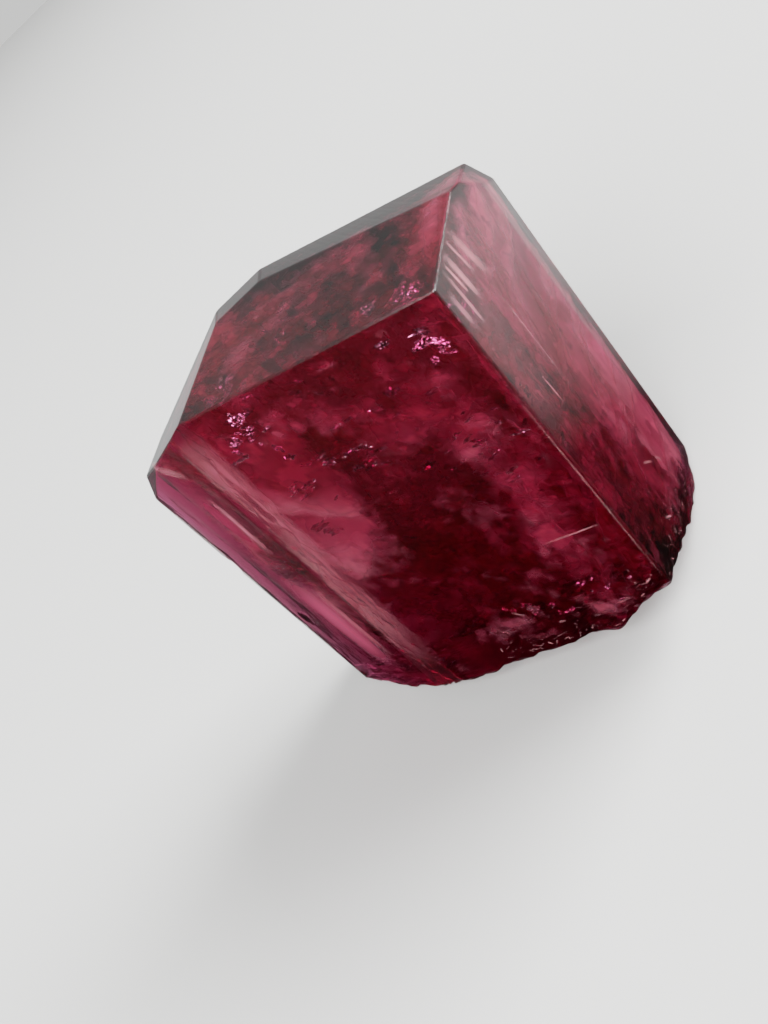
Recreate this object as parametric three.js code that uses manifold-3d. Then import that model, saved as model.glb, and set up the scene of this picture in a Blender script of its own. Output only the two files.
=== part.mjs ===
// A loose tourmaline crystal: a short prism with flat faces, a flat termination with sloping rims,
// a stepped edge on the left of its front face and a broken base that it stands on.
// Millimetres. +Z runs up the length of the prism, the broad front face looks along -Y.
import * as THREE from 'three';
import { ConvexGeometry } from 'three/addons/geometries/ConvexGeometry.js';
import { mergeVertices } from 'three/addons/utils/BufferGeometryUtils.js';
import Module from 'manifold-3d';

// Overall size.
const HEIGHT = 17.1;
const HALF_WIDTH = 7.93;
const HALF_DEPTH = 4.7;

// Prism faces: azimuth of the outward direction in degrees from +X, and distance from the middle line.
const PRISM_FACES = {
  right: { azimuth: 0, reach: HALF_WIDTH },
  rightBack: { azimuth: 8, reach: 8.25 },
  back: { azimuth: 90, reach: HALF_DEPTH },
  backLeft: { azimuth: 125, reach: 4.98 },
  left: { azimuth: 180, reach: HALF_WIDTH },
  frontLeft: { azimuth: 245, reach: 5.31 },
  front: { azimuth: 270, reach: HALF_DEPTH },
};

// Rims of the termination: each dips away from the flat top, starting at its reach from the middle line.
const TOP_RIMS = {
  backRim: { azimuth: 79.5, dip: 18, reach: 1.74 },
  cornerRim: { azimuth: 125, dip: 14.5, reach: 1.71 },
  leftRim: { azimuth: 180, dip: 27, reach: 2.1 },
  leftCorner: { azimuth: 222, dip: 62, reach: 5.35 },
  apexCorner: { azimuth: 21, dip: 64.5, reach: 7.7 },
};

// Broken base: a level break to stand on, and slanting ones under the front rim and its right corner.
const BASE_BREAKS = {
  front: { azimuth: 277, lean: 28, reach: 2.83 },
  corner: { azimuth: 320.5, lean: 36, reach: 5.18 },
};

// Shell-shaped ripples on the breaks: the point they spread from, their spacing and their height.
const RIPPLES = [
  { x: 9.4, y: -6.2, spacing: 1.75, height: 0.24 },
  { x: -9.0, y: -3.4, spacing: 2.4, height: 0.2 },
  { x: 1.6, y: 8.8, spacing: 3.1, height: 0.22 },
];
const RIPPLE_SINK = 0.34;
const LEVEL_RADIUS = 1.6;
const RIPPLE_RADIUS = 3.6;
const LEVEL_SINK = 0.3;
const BREAK_GRID = 0.36;
const BREAK_BLOCK = { x: 18, y: 12, z: 3 };

// Growth steps beside the front face: how far each terrace lies behind it, and where its edge runs.
const TERRACES = [
  { drop: 0.1, edgeX: -2.2, sway: 0.2, waves: 5.3 },
  { drop: 0.24, edgeX: -2.62, sway: 0.22, waves: 7.1 },
  { drop: 0.5, edgeX: -3.25, sway: 0.3, waves: 4.2 },
];
const TERRACE_EDGE_STEPS = 22;
const TERRACE_MARGIN = 1;

// Shallow growth grooves up the prism faces: place across the face, width where it is widest, the
// height where it fades out and the height past the end of the face where it is widest.
const GROOVE_DEPTH = 0.09;
const GROOVES = [
  { face: 'right', across: -3.9, width: 0.4, fades: 6.2, widest: 18 },
  { face: 'right', across: -3.2, width: 0.55, fades: 8.6, widest: 18 },
  { face: 'right', across: -2.5, width: 0.35, fades: 9.8, widest: 18 },
  { face: 'right', across: -1.5, width: 0.6, fades: 5.4, widest: 18 },
  { face: 'right', across: -0.4, width: 0.4, fades: 3.5, widest: 18 },
  { face: 'right', across: 0.9, width: 0.5, fades: 2.6, widest: 18 },
  { face: 'right', across: 1.9, width: 0.4, fades: 4.8, widest: 18 },
  { face: 'back', across: -5.6, width: 0.6, fades: 2.1, widest: 18 },
  { face: 'back', across: -3.4, width: 0.5, fades: 15.5, widest: -1 },
  { face: 'back', across: -2.5, width: 0.7, fades: 5.4, widest: 18 },
  { face: 'back', across: 0.4, width: 0.6, fades: 13.2, widest: -1 },
  { face: 'back', across: 1.2, width: 0.4, fades: 3, widest: 18 },
  { face: 'backLeft', across: -0.6, width: 0.6, fades: 2, widest: 18 },
  { face: 'backLeft', across: 0.8, width: 0.4, fades: 4.4, widest: 18 },
  { face: 'backLeft', across: 3.1, width: 0.7, fades: 11.5, widest: -1 },
  { face: 'left', across: -0.7, width: 0.5, fades: 2.6, widest: 18 },
  { face: 'left', across: 1.1, width: 0.4, fades: 11, widest: -1 },
  { face: 'frontLeft', across: -3.2, width: 0.5, fades: 11.4, widest: -1 },
  { face: 'frontLeft', across: -2.3, width: 0.4, fades: 4.2, widest: 18 },
];

// Flakes off the rest of the base's rim: place, half sizes, and turn about the vertical.
const RIM_FLAKES = [
  { at: [-2.8, -4.8, -0.2], size: [1.1, 0.9, 0.9], turn: -30 },
  { at: [-4.9, -4.1, -0.5], size: [1.4, 0.8, 0.8], turn: -25 },
  { at: [-6.9, -3.2, -0.4], size: [1.2, 0.9, 0.7], turn: -25 },
  { at: [-8.2, -0.9, -0.5], size: [0.7, 1.3, 0.9], turn: 5 },
  { at: [-6.4, 2.1, -0.3], size: [1.5, 0.8, 0.7], turn: 35 },
  { at: [-4.0, 4.0, -0.5], size: [1.3, 0.8, 0.9], turn: 35 },
  { at: [-1.2, 5.0, -0.3], size: [1.1, 0.8, 0.7], turn: 4 },
  { at: [1.6, 5.1, -0.5], size: [1.9, 0.9, 1.0], turn: -5 },
  { at: [5.4, 5.0, -0.4], size: [1.2, 0.7, 0.8], turn: 8 },
  { at: [8.1, 3.4, -0.5], size: [0.8, 1.2, 0.8], turn: -10 },
  { at: [8.2, 1.3, -0.3], size: [0.7, 0.9, 0.7], turn: 5 },
];

// Small knocks on the upright edges and on the front face's rim.
const EDGE_CHIPS = [
  { at: [8.02, -4.85, 7.1], size: [0.36, 0.34, 0.62], turn: 45 },
  { at: [8.06, -4.86, 4.6], size: [0.34, 0.3, 0.5], turn: 45 },
  { at: [8.08, -4.88, 12.4], size: [0.3, 0.28, 0.45], turn: 45 },
  { at: [-8.1, -2.3, 9.0], size: [0.35, 0.4, 0.8], turn: 20 },
  { at: [-7.2, -2.75, 5.2], size: [0.7, 0.35, 0.9], turn: -25 },
];
const FLAKE_DETAIL = 3;
const CHIP_DETAIL = 1;

const SURFACE_COLOUR = 0x84182f;
const SURFACE_ROUGHNESS = 0.12;

const radians = THREE.MathUtils.degToRad;
const wasm = await Module();
wasm.setup();

// A face of the crystal as a plane: tilt is the angle between its outward direction and straight up.
function facePlane(azimuth, tilt, reach, level) {
  const around = radians(azimuth);
  const normal = new THREE.Vector3().setFromSphericalCoords(1, radians(tilt), 0);
  normal.set(normal.z * Math.cos(around), normal.z * Math.sin(around), normal.y);
  const point = new THREE.Vector3(reach * Math.cos(around), reach * Math.sin(around), level);
  return new THREE.Plane().setFromNormalAndCoplanarPoint(normal, point);
}

function crystalPlanes() {
  const upright = Object.values(PRISM_FACES).map((face) => facePlane(face.azimuth, 90, face.reach, 0));
  const rims = Object.values(TOP_RIMS).map((rim) => facePlane(rim.azimuth, rim.dip, rim.reach, HEIGHT));
  const ends = [facePlane(0, 0, 0, HEIGHT), facePlane(0, 180, 0, 0)];
  return [...upright, ...rims, ...ends];
}

function meetingPoint(first, second, third) {
  const rows = [first, second, third];
  const matrix = new THREE.Matrix3().set(...rows.flatMap((plane) => plane.normal.toArray()));
  if (Math.abs(matrix.determinant()) < 1e-6) return null;
  const constants = new THREE.Vector3(...rows.map((plane) => -plane.constant));
  return constants.applyMatrix3(matrix.invert());
}

// The corners where three faces meet and no other face cuts them off.
function crystalCorners(planes) {
  const corners = [];
  planes.forEach((first, i) => {
    planes.slice(i + 1).forEach((second, j) => {
      planes.slice(i + j + 2).forEach((third) => {
        const point = meetingPoint(first, second, third);
        if (point && planes.every((plane) => plane.distanceToPoint(point) < 1e-6)) corners.push(point);
      });
    });
  });
  return corners;
}

// A closed geometry as a solid that can be joined and cut.
function solid(geometry) {
  const bare = geometry.clone();
  bare.deleteAttribute('normal');
  bare.deleteAttribute('uv');
  const merged = mergeVertices(bare, 1e-5);
  const vertProperties = new Float32Array(merged.attributes.position.array);
  const triVerts = new Uint32Array(merged.index.array);
  return new wasm.Manifold(new wasm.Mesh({ numProp: 3, vertProperties, triVerts }));
}

function geometryOf(body) {
  const mesh = body.getMesh();
  const geometry = new THREE.BufferGeometry();
  geometry.setAttribute('position', new THREE.Float32BufferAttribute(mesh.vertProperties, mesh.numProp));
  geometry.setIndex(new THREE.Uint32BufferAttribute(mesh.triVerts, 1));
  geometry.computeVertexNormals();
  return geometry;
}

// A shell-shaped bite: a squashed ball set into a rim.
function flake({ at, size, turn }, detail) {
  const ball = new THREE.IcosahedronGeometry(1, detail);
  ball.scale(...size);
  ball.rotateZ(radians(turn));
  ball.translate(...at);
  return solid(ball);
}

// Height of the break above the surface that the crystal stands on: under it where the base is level.
function breakHeight(x, y) {
  const slopes = Object.values(BASE_BREAKS).map(({ azimuth, lean, reach }) => {
    const outward = x * Math.cos(radians(azimuth)) + y * Math.sin(radians(azimuth));
    return (outward - reach) * Math.tan(radians(lean));
  });
  const ripples = RIPPLES.map((ripple) => {
    const distance = Math.hypot(x - ripple.x, y - ripple.y);
    return ripple.height * Math.abs(Math.sin((Math.PI * distance) / ripple.spacing));
  });
  const rough = THREE.MathUtils.smoothstep(Math.hypot(x, y), LEVEL_RADIUS, RIPPLE_RADIUS);
  const ripple = ripples.reduce((sum, height) => sum + height, -RIPPLE_SINK);
  return Math.max(0, ...slopes) + rough * ripple - (1 - rough) * LEVEL_SINK;
}

// What is missing under the crystal: a block whose top follows the break.
function breakCut() {
  const { x, y, z } = BREAK_BLOCK;
  const block = new THREE.BoxGeometry(x, y, z, Math.round(x / BREAK_GRID), Math.round(y / BREAK_GRID), 1);
  const position = block.attributes.position;
  for (let i = 0; i < position.count; i += 1) {
    const top = position.getZ(i) > 0;
    position.setZ(i, top ? breakHeight(position.getX(i), position.getY(i)) : -z);
  }
  return solid(block);
}

// What is missing in front of one terrace: a slab with a wavering edge, left of the front face.
function terraceCut({ drop, edgeX, sway, waves }) {
  const outline = new THREE.Shape();
  const low = -TERRACE_MARGIN;
  const high = HEIGHT + TERRACE_MARGIN;
  outline.moveTo(-HALF_WIDTH - TERRACE_MARGIN, low);
  for (let step = 0; step <= TERRACE_EDGE_STEPS; step += 1) {
    const along = step / TERRACE_EDGE_STEPS;
    const waver = Math.sin(waves * along * Math.PI) + 0.6 * Math.sin(2.7 * waves * along * Math.PI + 1);
    outline.lineTo(edgeX + sway * waver, low + (high - low) * along);
  }
  outline.lineTo(-HALF_WIDTH - TERRACE_MARGIN, high);
  const slab = new THREE.ExtrudeGeometry(outline, { depth: TERRACE_MARGIN + drop, bevelEnabled: false });
  slab.rotateX(Math.PI / 2);
  slab.translate(0, -HALF_DEPTH + drop, 0);
  return solid(slab);
}

// A shallow groove up a prism face: a long four-sided spike lying half in the face.
function grooveCut({ face, across, width, fades, widest }) {
  const { azimuth, reach } = PRISM_FACES[face];
  const length = widest - fades;
  const spike = new THREE.ConeGeometry(1, Math.abs(length), 4);
  spike.rotateX(length > 0 ? -Math.PI / 2 : Math.PI / 2);
  spike.scale(GROOVE_DEPTH, width / 2, 1);
  spike.translate(reach, across, (fades + widest) / 2);
  spike.rotateZ(radians(azimuth));
  return solid(spike);
}

function crystalGeometry() {
  let body = solid(new ConvexGeometry(crystalCorners(crystalPlanes())));
  const cuts = [
    breakCut(),
    ...TERRACES.map(terraceCut),
    ...GROOVES.map(grooveCut),
    ...RIM_FLAKES.map((bite) => flake(bite, FLAKE_DETAIL)),
    ...EDGE_CHIPS.map((chip) => flake(chip, CHIP_DETAIL)),
  ];
  cuts.forEach((cut) => {
    body = body.subtract(cut);
  });
  return geometryOf(body);
}

const surface = new THREE.MeshStandardMaterial({
  color: SURFACE_COLOUR,
  roughness: SURFACE_ROUGHNESS,
  metalness: 0,
});
const crystal = new THREE.Mesh(crystalGeometry(), surface);
crystal.name = 'crystal';

const part = new THREE.Group();
part.add(crystal);

export default part;
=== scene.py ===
import math
import random

import bmesh
import bpy
from mathutils import Matrix, Vector, noise


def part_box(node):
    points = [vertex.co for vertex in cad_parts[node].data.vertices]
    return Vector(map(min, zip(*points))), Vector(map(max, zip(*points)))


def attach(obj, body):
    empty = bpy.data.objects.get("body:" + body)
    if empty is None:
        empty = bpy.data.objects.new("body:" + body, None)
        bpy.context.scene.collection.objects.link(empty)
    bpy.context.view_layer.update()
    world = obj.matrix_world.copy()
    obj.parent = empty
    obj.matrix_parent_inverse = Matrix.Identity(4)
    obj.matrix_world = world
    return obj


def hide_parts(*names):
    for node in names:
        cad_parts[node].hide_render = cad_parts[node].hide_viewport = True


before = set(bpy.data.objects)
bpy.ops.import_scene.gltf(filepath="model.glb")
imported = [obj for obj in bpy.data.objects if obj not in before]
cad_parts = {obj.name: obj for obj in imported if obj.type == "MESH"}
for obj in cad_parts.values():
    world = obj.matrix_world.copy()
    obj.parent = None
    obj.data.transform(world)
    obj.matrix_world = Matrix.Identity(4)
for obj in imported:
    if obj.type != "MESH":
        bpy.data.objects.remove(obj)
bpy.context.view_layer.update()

# A loose tourmaline crystal, standing on its broken base. Sizes are in millimetres, turned into metres
# by MM, unless a comment says otherwise. TOUCH is how near a point must be to count as on a face.
MM = 0.001
LOW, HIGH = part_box("crystal")
HEIGHT = HIGH.z / MM
HALF_WIDTH = (HIGH.x - LOW.x) / 2 / MM
HALF_DEPTH = (HIGH.y - LOW.y) / 2 / MM
TOUCH = 0.0005
UP = Vector((0, 0, 1))

# Prism faces: azimuth of the outward direction in degrees from +X, and distance from the middle line.
PRISM_FACES = {
    "right": (0, HALF_WIDTH),
    "right_back": (8, 8.25),
    "back": (90, HALF_DEPTH),
    "back_left": (125, 4.98),
    "left": (180, HALF_WIDTH),
    "front_left": (245, 5.31),
    "front": (270, HALF_DEPTH),
}

# Rims of the termination: azimuth, dip away from the flat top, and reach from the middle line at the top.
TOP_RIMS = {
    "back_rim": (79.5, 18, 1.74),
    "corner_rim": (125, 14.5, 1.71),
    "left_rim": (180, 27, 2.1),
    "left_corner": (222, 62, 5.35),
    "apex_corner": (21, 64.5, 7.7),
}
WORN_RIMS = {"left_corner": 0.8}
ROUGH_BLOCK = 60
EDGE_ROUNDING = 0.08

# How matt a surface is, from 0 on a clean face to 1 on a fresh break.
EDGE_WEAR = 0.4
TERRACE_WEAR = 0.45
CHIP_WEAR = 0.35
BREAK_WEAR = 1.0

# Tourmaline: how it bends light, its roughness on a clean face and on a fresh break, and what it lets
# through and takes from the light to the metre.
BENDING = 1.63
FACE_ROUGHNESS = 0.03
BREAK_ROUGHNESS = 0.5
LETS_THROUGH = (0.65, 0.03, 0.3, 1)
TAKES = 780

# Fine growth lines along the prism: the way they follow each other, their waves in radians to the metre,
# their height and their strength.
LINES_ACROSS = (1, 0.7, 0)
LINE_WAVES = (9100, 14300, 23700)
LINE_HEIGHT = 0.0008
LINE_STRENGTH = 0.5

# Uneven prism faces: height of the growth ridges, their width across and their length, a seed, and wear.
RIDGED_FACES = {
    "back": (0.07, 1.1, 4.5, 3, 0.6),
    "back_left": (0.05, 0.9, 4.0, 5, 0.5),
    "left": (0.04, 0.8, 3.5, 7, 0.2),
    "front_left": (0.03, 0.6, 3.0, 11, 0.0),
    "right_back": (0.01, 0.5, 3.0, 13, 0.1),
}
RIDGE_GRID = (0.25, 0.75)
RIDGE_SEED_STEP = 3.7

# Unevenness, as noise takes it: how fast its finer swells weaken, how much finer each is, and how many.
ROUGH_SWELLS = (1.0, 2.1, 3)
CRACK_SWELLS = (0.8, 2.2, 3)
SHEET_SWELLS = (1.0, 2.2, 3)
RAGGED_SWELLS = (0.5, 2.1, 6)
STRIPE_SWELLS = (0.6, 2.2, 3)

# Growth steps beside the front face: drop behind it, where the edge runs at the base and at the top,
# its sway and its waves.
TERRACES = (
    (0.05, -1.95, -1.75, 0.14, 8.3),
    (0.1, -2.2, -2.2, 0.2, 5.3),
    (0.17, -2.4, -2.55, 0.16, 9.7),
    (0.24, -2.62, -2.62, 0.22, 7.1),
    (0.36, -2.85, -3.1, 0.2, 6.1),
    (0.5, -3.25, -3.25, 0.3, 4.2),
)
TERRACE_EDGE_STEPS = 110
TERRACE_MARGIN = 1
SECOND_WAVER = 0.6
SECOND_WAVES = 2.7
TERRACE_JITTER = 0.5
TERRACE_JITTERS = 60

# Broken base: slanting breaks as azimuth, lean and reach, and shell ripples as centre, spacing and height.
BASE_BREAKS = ((277, 28, 2.83), (320.5, 36, 5.18))
RIPPLES = (
    (9.4, -6.2, 2.1, 0.1),
    (-9.0, -3.4, 2.9, 0.14),
    (1.6, 8.8, 3.7, 0.16),
)
RIPPLE_SINK = 0.1
LEVEL_RADIUS = 1.6
RIPPLE_RADIUS = 3.6
BREAK_GRID = 0.16
SPLINTERS = ((0.7, 0.16), (1.9, 0.12), (4.6, 0.06))

# Flakes off the base's rim and knocks on the upright edges: place, half sizes, turn about the vertical.
FLAKE_UNEVENNESS = 0.12
FLAKE_LUMPS = 1.6
RIM_FLAKES = (
    ((-2.8, -4.8, -0.2), (1.1, 0.9, 0.9), -30),
    ((-4.9, -4.1, -0.5), (1.4, 0.8, 0.8), -25),
    ((-6.9, -3.2, -0.4), (1.2, 0.9, 0.7), -25),
    ((-8.2, -0.9, -0.5), (0.7, 1.3, 0.9), 5),
    ((-6.4, 2.1, -0.3), (1.5, 0.8, 0.7), 35),
    ((-4.0, 4.0, -0.5), (1.3, 0.8, 0.9), 35),
    ((-1.2, 5.0, -0.3), (1.1, 0.8, 0.7), 4),
    ((1.6, 5.1, -0.5), (1.9, 0.9, 1.0), -5),
    ((5.4, 5.0, -0.4), (1.2, 0.7, 0.8), 8),
    ((8.1, 3.4, -0.5), (0.8, 1.2, 0.8), -10),
    ((8.2, 1.3, -0.3), (0.7, 0.9, 0.7), 5),
)
EDGE_CHIPS = (
    ((7.98, -4.76, 7.1), (0.14, 0.14, 0.3), 45),
    ((7.98, -4.77, 4.6), (0.16, 0.15, 0.24), 45),
    ((7.98, -4.76, 8.4), (0.12, 0.12, 0.2), 45),
    ((-8.1, -2.3, 9.0), (0.35, 0.4, 0.8), 20),
    ((-7.2, -2.75, 5.2), (0.7, 0.35, 0.9), -25),
)

# Open cracks inside, in clusters: centre, spread, count, half size, azimuth and tilt of the way they
# face, and how far they turn from it.
CRACKS = (
    ((-0.9, -3.2, 14.9), (0.8, 0.5, 0.7), 16, 0.26, (-38, 34), 14),
    ((6.4, -2.8, 14.8), (0.3, 0.3, 0.35), 7, 0.28, (-38, 34), 10),
    ((-1.3, -3.3, 12.6), (0.7, 0.6, 1.3), 12, 0.34, (0, 4), 18),
    ((5.6, -3.3, 15.8), (1.2, 0.3, 0.2), 5, 0.3, (20, 14), 6),
    ((5.4, -3.6, 11.4), (1.3, 0.7, 2.4), 26, 0.24, (0, 6), 25),
    ((1.6, -2.8, 12.6), (2.2, 1.1, 2.2), 22, 0.4, (0, 6), 20),
    ((0.6, -1.6, 15.6), (1.6, 1.6, 0.6), 14, 0.3, (30, 50), 40),
    ((4.2, -3.8, 3.2), (2.6, 0.5, 0.7), 24, 0.2, (-38, 34), 20),
    ((-5.0, -2.1, 8.5), (0.5, 0.25, 0.7), 18, 0.4, (0, 8), 22),
    ((-1.4, -3.4, 10.4), (0.5, 0.4, 0.5), 10, 0.26, (0, 8), 25),
)
CRACK_SEED = 5
CRACK_SCATTER = 0.6
CRACK_SIZES = (0.4, 1.3)
CRACK_SHAPES = 50
CRACK_THICKNESS = 0.012
CRACK_OVAL = 0.6
CRACK_RAGGED = 0.7
CRACK_NOTCHES = 1.4
CRACK_WAVE = 0.22
CRACK_WAVES = 2.4
CRACK_MARGIN = 0.25
CRACK_ROOM = 1.3

# Veils: wavy sheets of fine healed cracks, in sets that face one way, as azimuth and tilt, how far each
# turns from it, their places along it, and how close their patches lie along X, Y and Z. They are thick in
# the clouds, given as centre, half sizes and strength, and thin between them.
CROSS_LEVELS = (-1.2, 0.6, 2.4, 4.2, 6.0, 7.8, 9.6, 11.2, 12.6, 13.9, 15.1, 16.2, 17.2)
SIDE_LEVELS = (5.0, 6.1, 7.0)
FRONT_LEVELS = (3.2, 4.2, 5.2, 6.2)
VEIL_SETS = (
    ((-38, 35), 9, CROSS_LEVELS, (0.8, 0.8, 0.8)),
    ((4, 90), 4, SIDE_LEVELS, (0.8, 1.5, 0.3)),
    ((-82, 72), 3, FRONT_LEVELS, (0.8, 0.8, 0.6)),
)
VEIL_REACH = 11
VEIL_GRID = 0.16
VEIL_WAVE = 0.6
VEIL_WAVES = 0.3
VEIL_SHIFT = (17.3, 5.1, 9.7)
VEIL_SKIN = 0.15
VEIL_MARGIN = 0.35
VEIL_FADE = 0.45
VEIL_THIN = -0.32
VEIL_RAGGED = 0.5
VEIL_GAIN = 1.5
VEIL_LEAST = 0.08
CLOUDS = (
    ((2.5, 0.8, 4.5), (4.5, 1.8, 5.5), 1.2),
    ((-3.5, 0.6, 8.0), (3.0, 2.0, 6.0), 0.8),
    ((-1.1, -3.4, 11.9), (1.2, 1.1, 1.9), 2.0),
    ((-1.5, -3.2, 13.2), (1.0, 1.1, 1.2), 0.8),
    ((-1.4, -3.2, 9.2), (1.3, 1.2, 1.8), 0.9),
    ((4.4, -2.4, 14.0), (2.0, 1.2, 1.4), 0.4),
    ((5.4, -2.8, 11.0), (1.4, 1.2, 1.8), 0.5),
    ((2.4, -2.6, 12.4), (1.8, 1.2, 1.2), 0.4),
    ((2.0, -3.9, 2.8), (5.0, 0.9, 1.2), 0.35),
    ((-0.8, -2.2, 15.4), (1.4, 1.4, 1.4), 0.4),
    ((0.4, 0.6, 15.4), (2.2, 1.8, 1.6), 0.45),
    ((-3.6, 0.6, 14.8), (2.2, 2.2, 1.4), 0.7),
    ((3.4, 1.6, 15.2), (2.0, 1.4, 1.6), 0.4),
    ((0.5, 0.0, 13.4), (6.0, 4.0, 1.8), 0.3),
    ((6.2, -1.6, 15.4), (1.0, 1.4, 1.0), 0.1),
    ((7.0, 1.6, 13.0), (0.5, 2.6, 3.4), 1.5),
    ((6.2, 2.0, 9.6), (0.8, 2.6, 4.0), 1.4),
    ((6.0, 2.8, 5.5), (0.8, 2.2, 4.0), 1.2),
    ((5.0, 0.6, 7.5), (0.8, 2.6, 4.0), 0.6),
    ((5.2, -2.6, 6.5), (1.0, 1.4, 3.5), 0.6),
    ((6.8, 3.5, 9.0), (0.7, 1.2, 5.5), 1.4),
    ((6.7, 3.0, 3.2), (0.9, 1.3, 2.4), 1.6),
    ((6.6, -1.6, 15.2), (1.0, 1.6, 1.4), 0.15),
    ((-4.4, -2.7, 5.4), (0.9, 0.9, 2.0), 1.2),
    ((-5.4, -2.2, 10.4), (0.8, 0.8, 1.3), 0.8),
)

# Facets of a veil: their size, how much they swirl, how finely and with which seed, how thick the
# thinnest is, and how far and how fast they differ.
PATCH_SIZE = 0.9
PATCH_SWIRL = 0.25
PATCH_SWIRLS = 1.7
SWIRL_SEED = 1
PATCH_LEAST = 0.4
PATCH_CONTRAST = 1.2
PATCH_CHANGE = 7.3

# Finish of the veils: pale colour, also of the painted highlights, sheen and sparkles, and the rosy colour
# of the painted glow; then roughness, bending and how clear they are.
PALE_VEIL_AND_SHEEN = (1.0, 0.5, 0.52, 1)
ROSY_GLOW_COLOUR = (1.0, 0.28, 0.42, 1)
VEIL_ROUGHNESS = 0.6
VEIL_BENDING = 1.25
VEIL_CLEARNESS = 0.25

# Fine marks and painted highlights under a face, as pale haze: the face, start and end on it (across, up),
# half width, strength and depth.
HAZE_STRIP_GRID = (4, 12)
MARKS_AND_PAINTED_HIGHLIGHTS = (
    # Short pale streaks below the top of the right face: painted highlights on its fine grooves.
    ("right", (-1.6, 17.0), (-1.0, 14.6), 0.26, 0.7, 0.12),
    ("right", (-2.15, 17.0), (-1.8, 15.4), 0.1, 0.9, 0.09),
    ("right", (-2.8, 17.0), (-2.55, 14.9), 0.22, 0.9, 0.1),
    ("right", (-3.2, 16.9), (-3.0, 15.5), 0.1, 1.0, 0.08),
    ("right", (-3.5, 16.9), (-3.4, 14.4), 0.14, 0.7, 0.11),
    ("right", (-4.1, 16.5), (-4.0, 14.9), 0.2, 0.6, 0.12),
    # A broad faint patch on the right face: painted grey-lilac sheen.
    ("right", (-3.0, 16.4), (-3.3, 10.2), 1.3, 0.12, 0.25),
    # Fine pale lines under the right and front faces.
    ("right", (-1.35, 14.6), (-1.3, 9.6), 0.05, 0.6, 0.1),
    ("right", (-2.6, 11.6), (-2.5, 10.0), 0.06, 0.7, 0.12),
    ("right", (-0.4, 4.6), (0.3, 3.9), 0.05, 0.8, 0.1),
    ("right", (0.8, 3.6), (1.2, 3.0), 0.05, 0.8, 0.1),
    ("right", (-1.8, 3.0), (-1.2, 2.4), 0.06, 0.7, 0.1),
    ("front", (5.14, 6.58), (7.22, 6.58), 0.035, 0.8, 0.1),
    ("front", (2.1, 3.9), (2.5, 3.5), 0.04, 0.7, 0.1),
    # A pale band on the strip beside the growth steps: painted highlight.
    ("front_left", (-4.2, 15.2), (-2.4, 14.6), 0.3, 0.5, 0.15),
    ("front_left", (-2.85, 13.4), (-2.8, 9.8), 0.25, 0.9, 0.35),
    ("front_left", (-2.75, 7.8), (-2.45, 2.6), 0.25, 0.7, 0.4),
    # A pale line along the front's right edge: painted edge highlight.
    ("front", (7.78, 13.0), (7.8, 3.0), 0.03, 0.35, 0.05),
)

# Rosy haze under the strip beside the front face, given in the same way: a painted glow for light shining
# through the thin strip.
ROSY_PAINTED_GLOW = (
    ("front_left", (-3.75, 8.4), (-3.3, 1.6), 0.9, 1.0, 0.4),
    ("front_left", (-3.3, 7.6), (-2.9, 3.0), 0.5, 0.9, 0.55),
    ("front_left", (-3.9, 13.6), (-3.6, 9.6), 0.6, 0.6, 0.9),
)

# Striped haze under the growth steps, a painted sheen on them: sides, depth, lower and upper end, strength
# low and high up, and its stripes: their middle strength, how far they differ, and how close they lie
# across and along.
LEDGE_SIDES = (-3.45, -1.95)
LEDGE_DEPTH = 0.62
LEDGE_ENDS = (2.0, 16.4)
LEDGE_SHEEN = (0.35, 0.8)
LEDGE_GRID = (36, 60)
STRIPE_HAZE = 0.55
STRIPE_CONTRAST = 0.8
STRIPES_ACROSS = 5
STRIPES_ALONG = 0.3

# Painted sparkles under a face beside the break: tiny streaks of pale haze that stand for glints. The face,
# its span across, count and half length. Then how far they start and rise above the break, their middle
# angle and its spread, their lengths and widths as parts of the half length, their strength and depth.
PAINTED_SPARKLES = (
    ("front", (0.5, 7.6), 120, 0.1),
    ("right", (-4.4, 3.6), 70, 0.1),
)
SPARKLE_SEED = 9
SPARKLE_START = 0.15
SPARKLE_RISE = 0.55
SPARKLE_ANGLE = 25
SPARKLE_ANGLES = 50
SPARKLE_LENGTHS = (0.2, 1.6)
SPARKLE_WIDTHS = (0.06, 0.3)
SPARKLE_HAZE = (0.2, 0.8)
SPARKLE_DEPTH = 0.1

# Camera at the photo's angle: its place, and which way is right and up in the picture. Then its focal
# length and the picture's height in pixels, its sensor, and the nearest it sees in metres.
CAMERA_PLACE = Vector((20.191, -29.382, 30.484)) * MM
CAMERA_RIGHT = Vector((0.79292, 0.12586, -0.59619))
CAMERA_UP = Vector((0.33087, 0.73269, 0.59472))
FOCAL_PIXELS = 1100
IMAGE_HEIGHT = 1024
SENSOR = 36
NEAREST_SEEN = 0.001

# Floor and backdrop: radius in metres, how far they lie under the crystal, and their shades.
FLOOR_RADIUS = 0.4
FLOOR_GAP = 0.02
FLOOR_COLOUR = (0.38, 0.38, 0.376, 1)
FLOOR_ROUGHNESS = 0.9
FLOOR_SHINE = 0.1
BACKDROP_COLOUR = (1, 1, 0.99, 1)
BACKDROP_GLOW = 0.8
ROUND_SEGMENTS = 96

# Soft boxes: their distance from the crystal, then direction, width and height, and watts. In metres.
LIGHT_DISTANCE = 0.5
SOFT_BOXES = {
    "key_light": ((0.66, 0.54, 0.52), 0.34, 0.55, 12.4),
    "fill_light": ((0.0, -0.85, 0.53), 0.34, 0.56, 10.0),
}

# Soft surround: height from 0 below to 1 above, with its brightness there. It fades from the bright side to
# the dim one, where SURROUND_DIM is left of it.
SURROUND_BAND = (
    (0.2, 0.01),
    (0.235, 0.45),
    (0.285, 1.0),
    (0.37, 0.6),
    (0.46, 0.27),
    (0.78, 0.35),
    (0.9, 0.95),
)
BRIGHT_SIDE = (0.6, 0.8, 0)
SURROUND_FADE = (-0.6, 0.3)
SURROUND_DIM = 0.05

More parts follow.
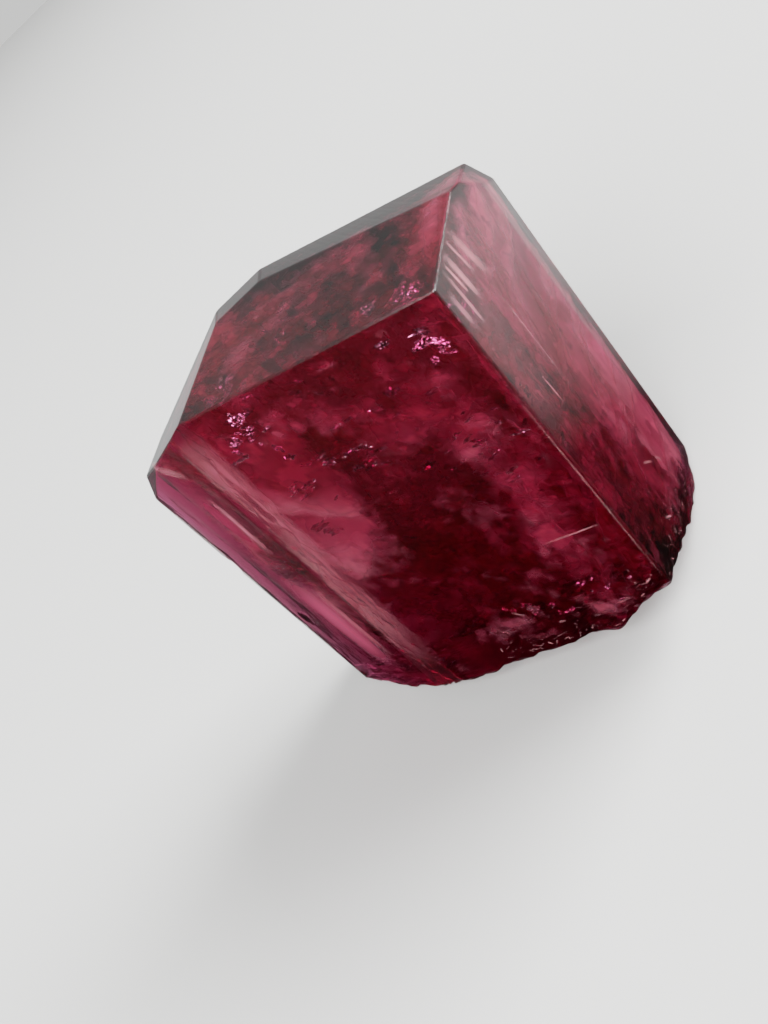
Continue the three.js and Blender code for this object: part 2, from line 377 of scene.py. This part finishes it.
# How often light may turn in the crystal and be scattered in it, how many veils it may cross, and the
# brightest sparkle.
LIGHT_TURNS = 8
LIGHT_SCATTERS = 2
VEIL_CROSSINGS = 16
BRIGHTEST_SPARKLE = 30

# Soft shoulder of the picture's tones: brightness in parts of TONE_WHITE, and what it becomes.
TONE_WHITE = 4
TONE_CURVE = ((0, 0), (0.03, 0.12), (0.1, 0.36), (0.25, 0.62), (0.5, 0.8), (1, 0.98))


def outward(azimuth, tilt=90):
    """Outward direction of a face: tilt is its angle from straight up."""
    around, lean = math.radians(azimuth), math.radians(tilt)
    return Vector((math.sin(lean) * math.cos(around), math.sin(lean) * math.sin(around), math.cos(lean)))


def clamp(value):
    """A value kept between 0 and 1."""
    return max(0, min(1, value))


def between(ends, share):
    """The value a share of the way from one end to the other."""
    return ends[0] + (ends[1] - ends[0]) * share


def lies_on(f, direction, reach):
    """Whether a whole mesh face still lies on one of the crystal's flat faces."""
    return all(abs(v.co.dot(direction) - reach) < TOUCH for v in f.verts)


def wear_layer(bm):
    """The face attribute that says how matt a face is."""
    return bm.faces.layers.float.get("wear") or bm.faces.layers.float.new("wear")


def cut_flat(bm, direction, point):
    """Cuts away what lies beyond a face and closes the cut."""
    geom = bm.verts[:] + bm.edges[:] + bm.faces[:]
    cut = bmesh.ops.bisect_plane(bm, geom=geom, plane_co=point, plane_no=direction, clear_outer=True)
    rim = [e for e in cut["geom_cut"] if isinstance(e, bmesh.types.BMEdge)]
    if rim:
        bmesh.ops.edgeloop_fill(bm, edges=rim)


def faced_block():
    """The crystal's flat faces, cut from a block one by one."""
    bm = bmesh.new()
    bmesh.ops.create_cube(bm, size=ROUGH_BLOCK)
    for azimuth, reach in PRISM_FACES.values():
        cut_flat(bm, outward(azimuth), outward(azimuth) * reach)
    for azimuth, dip, reach in TOP_RIMS.values():
        level = outward(azimuth) * reach
        level.z = HEIGHT
        cut_flat(bm, outward(azimuth, dip), level)
    cut_flat(bm, UP, Vector((0, 0, HEIGHT)))
    cut_flat(bm, -UP, Vector((0, 0, 0)))
    wear = wear_layer(bm)
    for name, amount in WORN_RIMS.items():
        direction = outward(*TOP_RIMS[name][:2])
        for f in bm.faces:
            if f.normal.dot(direction) > 1 - TOUCH:
                f[wear] = amount
    edges = [e for e in bm.edges if max(v.co.z for v in e.verts) > TOUCH]
    rounded = bmesh.ops.bevel(
        bm,
        geom=edges,
        offset=EDGE_ROUNDING,
        segments=2,
        profile=0.5,
        affect="EDGES",
        material=-1,
    )
    for f in rounded["faces"]:
        f[wear] = EDGE_WEAR
    bmesh.ops.recalc_face_normals(bm, faces=bm.faces[:])
    return bm


def score(bm, direction, reach, across, places):
    """Scores lines across one flat face, so that the strips between them can be moved."""
    for place in places:
        flat = [f for f in bm.faces if lies_on(f, direction, reach)]
        edges = dict.fromkeys(e for f in flat for e in f.edges)
        verts = dict.fromkeys(v for f in flat for v in f.verts)
        geom = [*verts, *edges, *flat]
        bmesh.ops.bisect_plane(bm, geom=geom, dist=1e-6, plane_co=across * place, plane_no=across)


def growth_ridges(bm):
    """Makes the prism faces uneven along their length, as they grew."""
    wide, long = RIDGE_GRID
    layer = wear_layer(bm)
    for name, (height, width, length, seed, wear) in RIDGED_FACES.items():
        azimuth, reach = PRISM_FACES[name]
        direction, across = outward(azimuth), outward(azimuth + 90)
        places = [v.co.dot(across) for v in bm.verts if abs(v.co.dot(direction) - reach) < TOUCH]
        first, last = math.ceil(min(places) / wide), math.floor(max(places) / wide)
        score(bm, direction, reach, across, [step * wide for step in range(first, last + 1)])
        score(bm, direction, reach, UP, [step * long for step in range(1, int(HEIGHT / long) + 1)])
        for f in bm.faces:
            if lies_on(f, direction, reach):
                f[layer] = wear
        for v in bm.verts:
            if abs(v.co.dot(direction) - reach) < TOUCH:
                where = Vector((v.co.dot(across) / width, v.co.z / length, seed * RIDGE_SEED_STEP))
                swell = noise.fractal(where, *ROUGH_SWELLS)
                v.co -= direction * height * (1 + max(-1, min(1, swell)))


def break_height(x, y):
    """Height of the broken base above what it stands on."""
    slope = 0
    for azimuth, lean, reach in BASE_BREAKS:
        along = Vector((x, y, 0)).dot(outward(azimuth))
        slope = max(slope, (along - reach) * math.tan(math.radians(lean)))
    ripple = -RIPPLE_SINK
    for centre_x, centre_y, spacing, height in RIPPLES:
        distance = math.hypot(x - centre_x, y - centre_y)
        ripple += height * abs(math.sin(math.pi * distance / spacing))
    for scale, height in SPLINTERS:
        ripple += height * noise.noise(Vector((x * scale, y * scale, scale)))
    share = clamp((math.hypot(x, y) - LEVEL_RADIUS) / (RIPPLE_RADIUS - LEVEL_RADIUS))
    rough = share * share * (3 - 2 * share)
    return max(0, slope + rough * ripple)


def break_base(bm):
    """Dices the flat underside and lifts it to the shape of the break."""
    for across, half in ((Vector((1, 0, 0)), HALF_WIDTH), (Vector((0, 1, 0)), HALF_DEPTH)):
        count = int(half / BREAK_GRID)
        score(bm, -UP, 0, across, [step * BREAK_GRID for step in range(-count, count + 1)])
    layer = wear_layer(bm)
    for f in bm.faces:
        if lies_on(f, -UP, 0):
            f[layer] = BREAK_WEAR
    for v in bm.verts:
        if v.co.z < TOUCH:
            v.co.z = break_height(v.co.x, v.co.y)


def mesh_object(name, bm):
    """A new object in the scene with this mesh."""
    mesh = bpy.data.meshes.new(name)
    bm.to_mesh(mesh)
    bm.free()
    obj = bpy.data.objects.new(name, mesh)
    bpy.context.scene.collection.objects.link(obj)
    return obj


def finished_piece(name, bm, material):
    """A piece in metres, with its finish."""
    bmesh.ops.scale(bm, vec=(MM, MM, MM), verts=bm.verts[:])
    piece = mesh_object(name, bm)
    piece.data.materials.append(material)
    return piece


def set_wear(bm, wear):
    """Makes a whole shape equally matt."""
    layer = wear_layer(bm)
    for f in bm.faces:
        f[layer] = wear


def terrace_cutter(drop, low_edge, high_edge, sway, waves):
    """What is missing in front of one terrace: a slab with a wavering edge."""
    bm = bmesh.new()
    bmesh.ops.create_grid(bm, x_segments=1, y_segments=TERRACE_EDGE_STEPS, size=0.5)
    low, high = -TERRACE_MARGIN, HEIGHT + TERRACE_MARGIN
    for v in bm.verts:
        along = v.co.y + 0.5
        waver = math.sin(waves * along * math.pi)
        waver += SECOND_WAVER * math.sin(SECOND_WAVES * waves * along * math.pi + 1)
        waver += TERRACE_JITTER * noise.noise(Vector((along * TERRACE_JITTERS, waves, 0)))
        edge = low_edge + (high_edge - low_edge) * along
        side = edge + sway * waver if v.co.x > 0 else -HALF_WIDTH - TERRACE_MARGIN
        v.co = Vector((side, -HALF_DEPTH + drop, low + (high - low) * along))
    slab = bmesh.ops.extrude_face_region(bm, geom=bm.faces[:])
    out = [v for v in slab["geom"] if isinstance(v, bmesh.types.BMVert)]
    bmesh.ops.translate(bm, vec=(0, -drop - TERRACE_MARGIN, 0), verts=out)
    bmesh.ops.recalc_face_normals(bm, faces=bm.faces[:])
    set_wear(bm, TERRACE_WEAR)
    return bm


def flake_cutter(wear, place, half_sizes, turn):
    """A shell-shaped bite: an uneven squashed ball set into a rim."""
    bm = bmesh.new()
    bmesh.ops.create_icosphere(bm, subdivisions=4, radius=1)
    for v in bm.verts:
        lump = noise.fractal(v.co * FLAKE_LUMPS + Vector(place), *ROUGH_SWELLS)
        v.co *= 1 + FLAKE_UNEVENNESS * lump
    bmesh.ops.scale(bm, vec=half_sizes, verts=bm.verts[:])
    bmesh.ops.rotate(bm, matrix=Matrix.Rotation(math.radians(turn), 3, "Z"), verts=bm.verts[:])
    bmesh.ops.translate(bm, vec=place, verts=bm.verts[:])
    set_wear(bm, wear)
    return bm


def carve(bm, cutters):
    """Takes the cutters off a body and gives back what is left."""
    body = mesh_object("body", bm)
    tools = [mesh_object("cutter", cutter) for cutter in cutters]
    for tool in tools:
        cut = body.modifiers.new("cut", "BOOLEAN")
        cut.operation = "DIFFERENCE"
        cut.solver = "MANIFOLD"
        cut.object = tool
    bpy.context.view_layer.update()
    left = bmesh.new()
    left.from_object(body, bpy.context.evaluated_depsgraph_get())
    for obj in [body, *tools]:
        mesh = obj.data
        bpy.data.objects.remove(obj)
        bpy.data.meshes.remove(mesh)
    return left


def flat_faces():
    """Every flat face but the base, as its outward direction and its distance from the origin."""
    flats = [(UP, HEIGHT)]
    for azimuth, reach in PRISM_FACES.values():
        flats.append((outward(azimuth), reach))
    for azimuth, dip, reach in TOP_RIMS.values():
        rim = outward(azimuth) * reach + UP * HEIGHT
        flats.append((outward(azimuth, dip), rim.dot(outward(azimuth, dip))))
    return flats


FLAT_FACES = flat_faces()


def inside(point):
    """Distance from a point to the nearest face, less than zero outside."""
    depth = min(reach - point.dot(direction) for direction, reach in FLAT_FACES)
    return min(depth, point.z - break_height(point.x, point.y))


def join(bm, other):
    """Adds another shape to a shape."""
    mesh = bpy.data.meshes.new("joined")
    other.to_mesh(mesh)
    other.free()
    bm.from_mesh(mesh)
    bpy.data.meshes.remove(mesh)


def crack(place, direction, size, seed):
    """One open crack: a thin wavy gap with a ragged outline, its faces turned into the gap."""
    bm = bmesh.new()
    bmesh.ops.create_icosphere(bm, subdivisions=3, radius=1)
    turn = direction.to_track_quat("Z", "X").to_matrix() @ Matrix.Rotation(seed, 3, "Z")
    for v in bm.verts:
        around = Vector((v.co.x, v.co.y, 0)).normalized()
        notch = noise.fractal(around * CRACK_NOTCHES + Vector((0, 0, seed)), *CRACK_SWELLS)
        ragged = 1 + CRACK_RAGGED * notch
        flat = Vector((v.co.x * ragged, v.co.y * CRACK_OVAL * ragged, 0)) * size
        wave = CRACK_WAVE * size * noise.noise(flat * CRACK_WAVES / size + Vector((0, 0, seed * 2)))
        v.co = Vector(place) + turn @ (flat + UP * (wave + v.co.z * CRACK_THICKNESS))
    bmesh.ops.reverse_faces(bm, faces=bm.faces[:])
    return bm


def cracks(bm):
    """Puts the clusters of open cracks into the crystal, clear of its faces."""
    draw = random.Random(CRACK_SEED)
    for centre, spread, count, size, facing, turn in CRACKS:
        for _ in range(count):
            place = Vector(c + draw.gauss(0, CRACK_SCATTER) * s for c, s in zip(centre, spread))
            azimuth = facing[0] + draw.uniform(-turn, turn)
            tilt = facing[1] + draw.uniform(-turn, turn)
            half = size * draw.uniform(*CRACK_SIZES)
            seed = draw.uniform(0, CRACK_SHAPES)
            if inside(place) > CRACK_MARGIN + half * CRACK_ROOM:
                join(bm, crack(place, outward(azimuth, tilt), half, seed))


def crystal():
    """The crystal: its faces, then what grew, broke and cracked on it."""
    bm = faced_block()
    growth_ridges(bm)
    break_base(bm)
    steps = [terrace_cutter(*terrace) for terrace in TERRACES]
    flakes = [flake_cutter(BREAK_WEAR, *flake) for flake in RIM_FLAKES]
    chips = [flake_cutter(CHIP_WEAR, *chip) for chip in EDGE_CHIPS]
    bm = carve(bm, steps + flakes + chips)
    cracks(bm)
    piece = finished_piece("crystal_body", bm, tourmaline())
    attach(piece, "root")
    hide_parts("crystal")


def worked_out(tree, operation, first, second=0):
    """Works out a value in a node tree: each term is a socket or a number."""
    node = tree.nodes.new("ShaderNodeMath")
    node.operation = operation
    for socket, term in zip(node.inputs, (first, second)):
        if isinstance(term, bpy.types.NodeSocket):
            tree.links.new(term, socket)
        else:
            socket.default_value = term
    return node.outputs["Value"]


def along_way(tree, places, way):
    """How far a place lies along a way."""
    node = tree.nodes.new("ShaderNodeVectorMath")
    node.operation = "DOT_PRODUCT"
    node.inputs[1].default_value = way
    tree.links.new(places, node.inputs[0])
    return node.outputs["Value"]


def new_finish(name):
    """A new material, its node tree and its shader."""
    material = bpy.data.materials.new(name)
    material.use_nodes = True
    return material, material.node_tree, material.node_tree.nodes["Principled BSDF"]


def tourmaline():
    """See-through red: clear, with the colour taken from the light on its way through."""
    material, tree, shader = new_finish("tourmaline")
    nodes, links = tree.nodes, tree.links
    shader.inputs["Base Color"].default_value = (1, 1, 1, 1)
    shader.inputs["IOR"].default_value = BENDING
    shader.inputs["Transmission Weight"].default_value = 1
    wear = nodes.new("ShaderNodeAttribute")
    wear.attribute_name = "wear"
    finish = nodes.new("ShaderNodeMapRange")
    finish.inputs["To Min"].default_value = FACE_ROUGHNESS
    finish.inputs["To Max"].default_value = BREAK_ROUGHNESS
    links.new(wear.outputs["Fac"], finish.inputs["Value"])
    links.new(finish.outputs["Result"], shader.inputs["Roughness"])
    where = nodes.new("ShaderNodeTexCoord")
    across = along_way(tree, where.outputs["Object"], LINES_ACROSS)
    lines = 0
    for wave in LINE_WAVES:
        line = worked_out(tree, "SINE", worked_out(tree, "MULTIPLY", across, wave))
        lines = worked_out(tree, "ADD", lines, line)
    relief = nodes.new("ShaderNodeBump")
    relief.inputs["Strength"].default_value = LINE_STRENGTH
    relief.inputs["Distance"].default_value = LINE_HEIGHT * MM
    links.new(lines, relief.inputs["Height"])
    links.new(relief.outputs["Normal"], shader.inputs["Normal"])
    absorption = nodes.new("ShaderNodeVolumeAbsorption")
    absorption.inputs["Color"].default_value = LETS_THROUGH
    absorption.inputs["Density"].default_value = TAKES
    links.new(absorption.outputs["Volume"], nodes["Material Output"].inputs["Volume"])
    return material


def cloud(place):
    """How thick the veils are at a place."""
    total = VEIL_THIN
    for centre, half_sizes, strength in CLOUDS:
        apart = sum(((p - c) / h) ** 2 for p, c, h in zip(place, centre, half_sizes))
        total += strength * math.exp(-apart)
    return total


def patch(place):
    """How thick the facet of a veil at a place is: each has its own."""
    swirl = noise.noise_vector(place * PATCH_SWIRLS) * PATCH_SWIRL
    middle = noise.voronoi((place + swirl) / PATCH_SIZE)[1][0]
    own = noise.noise(middle * PATCH_CHANGE) * PATCH_CONTRAST
    return between((PATCH_LEAST, 1), clamp(0.5 + own))


def veil_sheet(facing, turn_by, level, closeness, seed):
    """One veil: a wavy sheet, with how thick it is at each point in its attribute haze."""
    draw = random.Random(seed)
    azimuth, tilt = (angle + draw.uniform(-turn_by, turn_by) for angle in facing)
    direction = outward(azimuth, tilt)
    turn = direction.to_track_quat("Z", "X").to_matrix()
    middle = Vector((0, 0, HEIGHT / 2))
    centre = middle + direction * (level - middle.dot(direction))
    shift = Vector(seed * step for step in VEIL_SHIFT)
    bm = bmesh.new()
    count = round(2 * VEIL_REACH / VEIL_GRID)
    bmesh.ops.create_grid(bm, x_segments=count, y_segments=count, size=1)
    haze = bm.verts.layers.float.new("haze")
    outside = []
    for v in bm.verts:
        place = centre + turn @ (v.co * VEIL_REACH)
        place += direction * VEIL_WAVE * noise.fractal(place * VEIL_WAVES + shift, *SHEET_SWELLS)
        v.co = place
        depth = inside(place)
        if depth < VEIL_SKIN:
            outside.append(v)
        elif depth > VEIL_MARGIN:
            where = place * Vector(closeness) + shift
            thick = cloud(place) + VEIL_RAGGED * noise.fractal(where, *RAGGED_SWELLS)
            if thick > 0:
                fade = clamp((depth - VEIL_MARGIN) / VEIL_FADE)
                v[haze] = fade * clamp(thick * VEIL_GAIN) * patch(where)
    bmesh.ops.delete(bm, geom=outside, context="VERTS")
    clear = [f for f in bm.faces if max(v[haze] for v in f.verts) < VEIL_LEAST]
    bmesh.ops.delete(bm, geom=clear, context="FACES")
    return bm


def pale_haze_strip(face, start, end, half_width, strength, depth, finish=0):
    """A strip of pale haze under a face, fading at its sides and ends. It draws fine marks, and painted
    highlights, sheen and glints.
    """
    azimuth, reach = PRISM_FACES[face]
    direction, across = outward(azimuth), outward(azimuth + 90)
    first, last = (across * place + UP * height for place, height in (start, end))
    along = last - first
    side = direction.cross(along).normalized() * half_width
    bm = bmesh.new()
    bmesh.ops.create_grid(bm, x_segments=HAZE_STRIP_GRID[0], y_segments=HAZE_STRIP_GRID[1], size=1)
    haze = bm.verts.layers.float.new("haze")
    for v in bm.verts:
        x, y = v.co.x, v.co.y
        v.co = direction * (reach - depth) + (first + last) / 2 + along * y / 2 + side * x
        v[haze] = strength * (1 - x * x) * (1 - y * y)
    for f in bm.faces:
        f.material_index = finish
    return bm


def painted_ledge_sheen():
    """Striped haze under the growth steps beside the front face: their painted sheen, striped along their
    length.
    """
    bm = bmesh.new()
    bmesh.ops.create_grid(bm, x_segments=LEDGE_GRID[0], y_segments=LEDGE_GRID[1], size=1)
    haze = bm.verts.layers.float.new("haze")
    for v in bm.verts:
        x, y = v.co.x, v.co.y
        side = between(LEDGE_SIDES, (x + 1) / 2)
        up = between(LEDGE_ENDS, (y + 1) / 2)
        strength = between(LEDGE_SHEEN, (y + 1) / 2)
        where = Vector((side * STRIPES_ACROSS, 0, up * STRIPES_ALONG))
        stripes = STRIPE_HAZE + STRIPE_CONTRAST * noise.fractal(where, *STRIPE_SWELLS)
        v[haze] = strength * (1 - x ** 4) * (1 - y ** 4) * clamp(stripes)
        v.co = Vector((side, LEDGE_DEPTH - HALF_DEPTH, up))
    return bm


def painted_sparkles(bm):
    """Scatters tiny streaks of pale haze under the faces beside the break: painted glints."""
    draw = random.Random(SPARKLE_SEED)
    for face, (first, last), count, size in PAINTED_SPARKLES:
        azimuth, reach = PRISM_FACES[face]
        for _ in range(count):
            across = draw.uniform(first, last)
            foot = outward(azimuth) * reach + outward(azimuth + 90) * across
            up = break_height(foot.x, foot.y) + SPARKLE_START + draw.expovariate(1 / SPARKLE_RISE)
            angle = math.radians(draw.gauss(SPARKLE_ANGLE, SPARKLE_ANGLES))
            half = size * draw.uniform(*SPARKLE_LENGTHS)
            reach_x, reach_z = half * math.cos(angle), half * math.sin(angle)
            start, end = (across - reach_x, up - reach_z), (across + reach_x, up + reach_z)
            half_width = half * draw.uniform(*SPARKLE_WIDTHS)
            strength = draw.uniform(*SPARKLE_HAZE)
            join(bm, pale_haze_strip(face, start, end, half_width, strength, SPARKLE_DEPTH))


def veil_finish(name, colour):
    """Fine healed cracks, and the painted highlights, sheen, sparkles and glow drawn like them: half clear,
    thicker where the haze is.
    """
    material, tree, shader = new_finish(name)
    shader.inputs["Base Color"].default_value = colour
    shader.inputs["Roughness"].default_value = VEIL_ROUGHNESS
    shader.inputs["IOR"].default_value = VEIL_BENDING
    shader.inputs["Transmission Weight"].default_value = VEIL_CLEARNESS
    haze = tree.nodes.new("ShaderNodeAttribute")
    haze.attribute_name = "haze"
    tree.links.new(haze.outputs["Fac"], shader.inputs["Alpha"])
    return material


def veils_and_painted_light():
    """All the healed cracks in the crystal, with the painted highlights, sheen and sparkles, in two
    finishes: pale, and rosy for the painted glow.
    """
    bm = bmesh.new()
    for facing, turn_by, levels, closeness in VEIL_SETS:
        for seed, level in enumerate(levels):
            join(bm, veil_sheet(facing, turn_by, level, closeness, seed))
    # Fine marks and painted highlights, then the rosy painted glow, the painted sheen on the growth steps
    # and the painted sparkles.
    for haze_row in MARKS_AND_PAINTED_HIGHLIGHTS:
        join(bm, pale_haze_strip(*haze_row))
    for haze_row in ROSY_PAINTED_GLOW:
        join(bm, pale_haze_strip(*haze_row, finish=1))
    join(bm, painted_ledge_sheen())
    painted_sparkles(bm)
    piece = finished_piece("veils_and_painted_light", bm, veil_finish("veil", PALE_VEIL_AND_SHEEN))
    piece.data.materials.append(veil_finish("rosy_painted_glow", ROSY_GLOW_COLOUR))
    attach(piece, "root")
    piece.visible_shadow = False


def pale_floor():
    """A round pale floor, which the crystal's faces don't mirror."""
    material, _, shader = new_finish("pale_floor")
    shader.inputs["Base Color"].default_value = FLOOR_COLOUR
    shader.inputs["Roughness"].default_value = FLOOR_ROUGHNESS
    shader.inputs["Specular IOR Level"].default_value = FLOOR_SHINE
    bm = bmesh.new()
    bmesh.ops.create_circle(bm, cap_ends=True, segments=ROUND_SEGMENTS, radius=FLOOR_RADIUS / MM)
    bmesh.ops.translate(bm, vec=(0, 0, -FLOOR_GAP), verts=bm.verts[:])
    floor = finished_piece("floor", bm, material)
    floor.visible_glossy = False


def pale_backdrop():
    """A pale wall round the floor, seen only behind the crystal: it neither lights it nor shows in it."""
    material, _, shader = new_finish("pale_backdrop")
    shader.inputs["Base Color"].default_value = (0, 0, 0, 1)
    shader.inputs["Specular IOR Level"].default_value = 0
    shader.inputs["Emission Color"].default_value = BACKDROP_COLOUR
    shader.inputs["Emission Strength"].default_value = BACKDROP_GLOW
    bm = bmesh.new()
    bmesh.ops.create_cone(
        bm,
        segments=ROUND_SEGMENTS,
        radius1=FLOOR_RADIUS / MM,
        radius2=FLOOR_RADIUS / MM,
        depth=2 * FLOOR_RADIUS / MM,
    )
    bmesh.ops.translate(bm, vec=(0, 0, FLOOR_RADIUS / MM - FLOOR_GAP), verts=bm.verts[:])
    bmesh.ops.reverse_faces(bm, faces=bm.faces[:])
    wall = finished_piece("backdrop", bm, material)
    wall.visible_diffuse = False
    wall.visible_glossy = False
    wall.visible_transmission = False
    wall.visible_volume_scatter = False
    wall.visible_shadow = False


def soft_light(name, direction, wide, high, watts):
    """A soft box that faces the crystal's middle."""
    light = bpy.data.lights.new(name, "AREA")
    light.shape = "RECTANGLE"
    light.size = wide
    light.size_y = high
    light.energy = watts
    obj = bpy.data.objects.new(name, light)
    middle = Vector((0, 0, HEIGHT * MM / 2))
    towards = Vector(direction).normalized()
    obj.location = middle + towards * LIGHT_DISTANCE
    obj.rotation_mode = "QUATERNION"
    obj.rotation_quaternion = towards.to_track_quat("Z", "Y")
    obj.visible_camera = False
    bpy.context.scene.collection.objects.link(obj)


def ramp(nodes, stops):
    """A grey ramp from position and brightness pairs."""
    node = nodes.new("ShaderNodeValToRGB")
    elements = node.color_ramp.elements
    while len(elements) < len(stops):
        elements.new(0.5)
    for element, (place, grey) in zip(elements, stops):
        element.position = place
        element.color = (grey, grey, grey, 1)
    return node


def studio_surround():
    """Soft surround: pale overhead and low at the back right, dim at the front left."""
    world = bpy.data.worlds.new("studio")
    bpy.context.scene.world = world
    world.use_nodes = True
    tree = world.node_tree
    nodes, links = tree.nodes, tree.links
    where = nodes.new("ShaderNodeTexCoord")
    split = nodes.new("ShaderNodeSeparateXYZ")
    links.new(where.outputs["Generated"], split.inputs["Vector"])
    height = nodes.new("ShaderNodeMapRange")
    height.inputs["From Min"].default_value = -1
    links.new(split.outputs["Z"], height.inputs["Value"])
    band = ramp(nodes, SURROUND_BAND)
    links.new(height.outputs["Result"], band.inputs["Fac"])
    side = nodes.new("ShaderNodeMapRange")
    side.interpolation_type = "SMOOTHSTEP"
    side.inputs["From Min"].default_value, side.inputs["From Max"].default_value = SURROUND_FADE
    side.inputs["To Min"].default_value = SURROUND_DIM
    links.new(along_way(tree, where.outputs["Generated"], BRIGHT_SIDE), side.inputs["Value"])
    shade = worked_out(tree, "MULTIPLY", band.outputs["Color"], side.outputs["Result"])
    links.new(shade, nodes["Background"].inputs["Color"])


def lights():
    """Two soft boxes in a soft surround."""
    for name, soft_box in SOFT_BOXES.items():
        soft_light(name, *soft_box)
    studio_surround()


def camera():
    """The camera, where the photo was taken from."""
    data = bpy.data.cameras.new("camera")
    data.sensor_width = SENSOR
    data.lens = SENSOR * FOCAL_PIXELS / IMAGE_HEIGHT
    data.clip_start = NEAREST_SEEN
    obj = bpy.data.objects.new("camera", data)
    back = CAMERA_RIGHT.cross(CAMERA_UP)
    turn = Matrix((CAMERA_RIGHT, CAMERA_UP, back)).transposed()
    obj.matrix_world = Matrix.Translation(CAMERA_PLACE) @ turn.to_4x4()
    bpy.context.scene.collection.objects.link(obj)
    bpy.context.scene.camera = obj


def picture_tones():
    """Plain colours with a soft shoulder, so that the pale floor keeps its shade."""
    view = bpy.context.scene.view_settings
    view.view_transform = "Standard"
    view.use_curve_mapping = True
    tones = view.curve_mapping
    tones.white_level = (TONE_WHITE, TONE_WHITE, TONE_WHITE)
    points = tones.curves[3].points
    while len(points) < len(TONE_CURVE):
        points.new(0.5, 0.5)
    for point, place in zip(points, TONE_CURVE):
        point.location = place
    tones.update()


def light_paths():
    """Lets light turn often enough inside the crystal."""
    cycles = bpy.context.scene.cycles
    cycles.max_bounces = LIGHT_TURNS
    cycles.diffuse_bounces = LIGHT_SCATTERS
    cycles.glossy_bounces = LIGHT_TURNS
    cycles.transmission_bounces = LIGHT_TURNS
    cycles.transparent_max_bounces = VEIL_CROSSINGS
    cycles.sample_clamp_indirect = BRIGHTEST_SPARKLE


noise.seed_set(SWIRL_SEED)
crystal()
veils_and_painted_light()
pale_floor()
pale_backdrop()
lights()
camera()
picture_tones()
light_paths()
